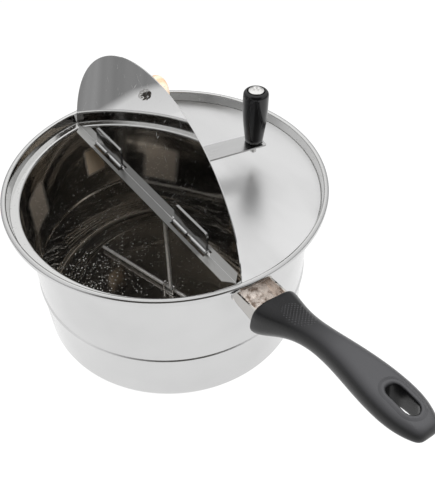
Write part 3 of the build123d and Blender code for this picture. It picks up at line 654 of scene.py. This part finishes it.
potSizes = {
    "rim": 133.0, "height": 143.5, "body": 120.5, "sheet": 0.8, "baseCorner": 6.6, "bead": 53.5, "beadRise": 1.0,
    "beadHalf": 2.2, "beadFlat": 0.6, "seatDepth": 10.0, "seat": 127.5, "flare": 1.2, "lipDrop": 4.6, "lipReturn": 2.2,
    "bends": (1, 0.6, 0.6, 1, 2, 1, 1.5, 1.5, 1.2), "steps": 288,  # bends: radii from the bead up to the lip
}


def makePot(s):
    # the sheet's middle line from the base's centre, up the wall over the bead, out to the seat and over the lip
    half = s["sheet"] / 2
    wall = s["body"] - half
    seat = s["height"] - s["seatDepth"] - half
    riser = s["seat"] + half
    top = s["height"] - half
    lip = s["rim"] - half
    corners = [
        (0, half), (wall, half), (wall, s["bead"] - s["beadHalf"]),
        (wall + s["beadRise"], s["bead"] - s["beadFlat"]), (wall + s["beadRise"], s["bead"] + s["beadFlat"]),
        (wall, s["bead"] + s["beadHalf"]), (wall, seat), (riser, seat),
        (riser + s["flare"], top), (lip, top), (lip, top - s["lipDrop"]), (lip - s["lipReturn"], top - s["lipDrop"]),
    ]
    line = filletedLine(corners, [s["baseCorner"], *s["bends"]])
    return turned("spunPot", sheetLoop(line, s["sheet"]), s["steps"])


finishPiece(makePot(potSizes), "pot_body")
print("pot made")


spindleSizes = {"head": 6.2, "dome": 1.5, "edge": 0.5, "top": 206.3, "seat": 203.15, "radius": 2.5, "foot": 145.9,
                "chamfer": 0.4, "crossWide": 1.1, "crossLong": 3.3, "crossDeep": 1.3, "steps": 128}


def makeSpindle(s, centre):
    # a pin with a domed head: height falls with the square of radius, and a quarter round turns over its edge.
    # A cross is pressed into the dome, its depth fading to nothing at its ends
    out = np.linspace(0, s["head"] - s["edge"], 26)
    dome = s["top"] - s["dome"] * (out / s["head"]) ** 2
    quarter = np.linspace(0, math.pi / 2, 6)[1:]
    rim = np.stack([out[-1] + s["edge"] * np.sin(quarter), dome[-1] - s["edge"] + s["edge"] * np.cos(quarter)], 1)
    under = np.array([(s["head"], s["seat"]), (s["radius"], s["seat"]), (s["radius"], s["foot"] + s["chamfer"]),
                      (s["radius"] - s["chamfer"], s["foot"]), (0, s["foot"])])
    profile = np.concatenate([np.stack([out, dome], 1), rim, under])

    def carve(grid):
        x, y, z = np.moveaxis(grid, -1, 0)
        arms = [np.clip(1 - (np.abs(a) / s["crossWide"]) ** 4, 0, 1)
                * np.clip(1 - (np.abs(b) / s["crossLong"]) ** 2, 0, 1) for a, b in ((x, y), (y, x))]
        upper = z > s["top"] - s["dome"]
        return np.stack([x, y, z - s["crossDeep"] * np.maximum(*arms) * upper], -1)

    return turned("gripSpindle", profile, s["steps"], centre, carve)


gripCentre = middleOf("crank_grip")[:2]
finishPiece(makeSpindle(spindleSizes, gripCentre), "grip_spindle")


gripMouth = {"radius": 7.2, "deep": 1.0}  # in mm


def openMouth(piece, centre, look):
    # the recess round the grip's cap widens towards its top, which leaves a shadowed ring there: points near
    # the top and inside the radius move out to it
    points = pointsOf(piece.data)
    out = points[:, :2] - centre
    radius = np.linalg.norm(out, axis=1)
    near = (points[:, 2] > points[:, 2].max() - look["deep"] * mm) & (radius < look["radius"] * mm)
    points[near, :2] = centre + out[near] * (look["radius"] * mm / radius[near])[:, None]
    movePoints(piece.data, points)


# sizes in mm; the crisp place is the hanging hole's middle, in plan
handleMesh = {"gridMm": 0.75, "rounds": 14, "crisp": (264.5, 0.0), "crispReach": 17, "crispRounds": 3}
finishPiece(softCopy("long_handle", handleMesh), "long_handle")

for node in cadNodes:
    if node in ("pot_body", "long_handle", "grip_spindle"):
        continue
    piece = smoothCopy(node, edgeWidths.get(node, plainEdge))
    if node == "crank_grip":
        openMouth(piece, np.array(gripCentre), gripMouth)
    finishPiece(piece, node)
print("pieces made:", len(cadNodes))


# studio: a white floor, a soft pale surround with a darker side behind the camera, a grey card and a fill lamp

studioLook = {
    "floorSize": 6.0, "floorGlow": 0.96, "floorColour": "#5a5a5a", "skyLow": 0.72, "skyHigh": 1.02,
    "skyHeights": (0.35, 0.85), "horizonDark": 0.22, "horizonHeights": (0.05, 0.30),
    # the dark side starts and is full at these cosines off the camera's way, first low down and then high up
    "cameraWay": (0.845, -0.534, 0.0), "dark": (0.080, 0.074, 0.067, 1.0), "darkStart": (0.69, 0.30),
    "darkFull": (0.88, 0.68), "darkWidens": (0.45, 0.55), "darkEnds": (0.88, 0.95),
    "cardLow": (-0.72, -0.47), "cardHigh": (-0.285, -0.11), "cardHeight": 0.002, "cardDark": 0.29, "cardPale": 0.84,
    "cardPalest": 0.98, "slant": 0.394, "slantFrom": -0.262, "border": -0.366, "borderSoft": 0.010,
    "streakWay": (-0.564, 0.826, 0.0), "streaks": 30.0, "streakRange": (0.72, 1.35),
    "fillPlace": (0.5, -0.15, 1.0), "fillSize": 0.4, "fillWatts": 9.0,
}


def makeSurround(look):
    # brightness climbs from low sky to high sky above a dark horizon; towards the camera's side it falls to
    # near black, over a wider angle higher up. The camera itself sees plain white
    world = bpy.data.worlds.new("studio")
    world.use_nodes = True
    scene.world = world
    tree = world.node_tree
    tree.nodes.clear()
    direction = addNode(tree, "TexCoord", out="Generated")
    x, y, z = addNode(tree, "SeparateXYZ", [direction]).node.outputs
    level = addNode(tree, "VectorMath", [addNode(tree, "CombineXYZ", [x, y])], operation="NORMALIZE")
    facing = addNode(tree, "VectorMath", [level, look["cameraWay"]], "Value", operation="DOT_PRODUCT")
    start = addNode(tree, "MapRange", [z, *look["darkWidens"], *look["darkStart"]])
    full = addNode(tree, "MapRange", [z, *look["darkWidens"], *look["darkFull"]])
    darkened = product(tree, addNode(tree, "MapRange", [facing, start, full, 0.0, 1.0]),
                       addNode(tree, "MapRange", [z, *look["darkEnds"], 1.0, 0.0]))
    sky = product(tree, addNode(tree, "MapRange", [z, *look["skyHeights"], look["skyLow"], look["skyHigh"]]),
                  addNode(tree, "MapRange", [z, *look["horizonHeights"], look["horizonDark"], 1.0]))
    room = addNode(tree, "Mix", {0: darkened, 6: addNode(tree, "CombineColor", [sky, sky, sky]), 7: look["dark"]},
                   **colourMix)
    seen = addNode(tree, "LightPath", out="Is Camera Ray")
    colour = addNode(tree, "Mix", {0: seen, 6: room, 7: (1.0, 1.0, 1.0, 1.0)}, **colourMix)
    output = tree.nodes.new("ShaderNodeOutputWorld")
    tree.links.new(addNode(tree, "Background", [colour, 1.0]), output.inputs["Surface"])


def flatSheet(name, low, high, height):
    # a level rectangle between two corners
    points = np.array([(low[0], low[1], height), (high[0], low[1], height), (high[0], high[1], height),
                       (low[0], high[1], height)])
    return meshObject(name, points, [(0, 1, 2, 3)], smooth=False)


def makeFloor(look):
    # white paper, lit from below as well, so that no edge of it shows and only a faint shadow lies on it
    half = look["floorSize"] / 2
    floor = flatSheet("floor", (-half, -half), (half, half), 0.0)
    material, tree, place = newMaterial("paperFloor")
    fibre = addNode(tree, "TexNoise", {"Vector": place, "Scale": 60.0, "Detail": 3.0}, "Fac")
    paper = linearFromHex(look["floorColour"])
    base = addNode(tree, "Mix", {0: fibre, 6: paper, 7: tuple(c * 0.96 for c in paper[:3]) + (1.0,)}, **colourMix)
    finishMaterial(material, {"Base Color": base, "Roughness": 0.9, "Specular IOR Level": 0.0,
                              "Emission Color": (1, 1, 1, 1), "Emission Strength": look["floorGlow"]})
    floor.data.materials.append(material)


def makeCard(look):
    # a streaky grey card with a pale part lies beside the pot, seen only in reflections, for the open flap
    card = flatSheet("card", look["cardLow"], look["cardHigh"], look["cardHeight"])
    card.visible_camera = False
    card.visible_diffuse = False
    card.visible_shadow = False
    material, tree, place = newMaterial("greyCard")
    x, y, z = addNode(tree, "SeparateXYZ", [place]).node.outputs
    slant = addNode(tree, "Math", [y, look["slant"], look["slantFrom"]], operation="MULTIPLY_ADD")
    border = addNode(tree, "Math", [slant, look["border"]], operation="MAXIMUM")
    pale = addNode(tree, "MapRange", [addNode(tree, "Math", [x, border], operation="SUBTRACT"),
                                      -look["borderSoft"], look["borderSoft"], 0.0, 1.0])
    across = addNode(tree, "VectorMath", [place, look["streakWay"]], "Value", operation="DOT_PRODUCT")
    streak = addNode(tree, "TexNoise", {"Vector": addNode(tree, "CombineXYZ", [across]), "Scale": look["streaks"],
                                        "Detail": 2.0}, "Fac")
    grey = product(tree, addNode(tree, "MapRange", [streak, 0.3, 0.7, *look["streakRange"]]), look["cardDark"])
    bright = addNode(tree, "MapRange", [x, look["border"], look["cardHigh"][0], look["cardPale"], look["cardPalest"]])
    strength = addNode(tree, "Mix", {0: pale, 2: grey, 3: bright}, data_type="FLOAT")
    finishMaterial(material, {"Base Color": (0, 0, 0, 1), "Specular IOR Level": 0.0, "Emission Color": (1, 1, 1, 1),
                              "Emission Strength": strength})
    card.data.materials.append(material)


def makeFill(look):
    # a soft lamp above the handle fills the matt surfaces; the metal doesn't mirror it
    data = bpy.data.lights.new("fill", "AREA")
    data.energy = look["fillWatts"]
    data.size = look["fillSize"]
    lamp = bpy.data.objects.new("fill", data)
    lamp.visible_glossy = False
    scene.collection.objects.link(lamp)
    place = Vector(look["fillPlace"])
    lamp.matrix_world = Matrix.Translation(place) @ (-place).to_track_quat("-Z", "Y").to_matrix().to_4x4()


makeSurround(studioLook)
makeFloor(studioLook)
makeCard(studioLook)
makeFill(studioLook)
scene.view_settings.view_transform = "Standard"
scene.view_settings.look = "None"
print("studio made")
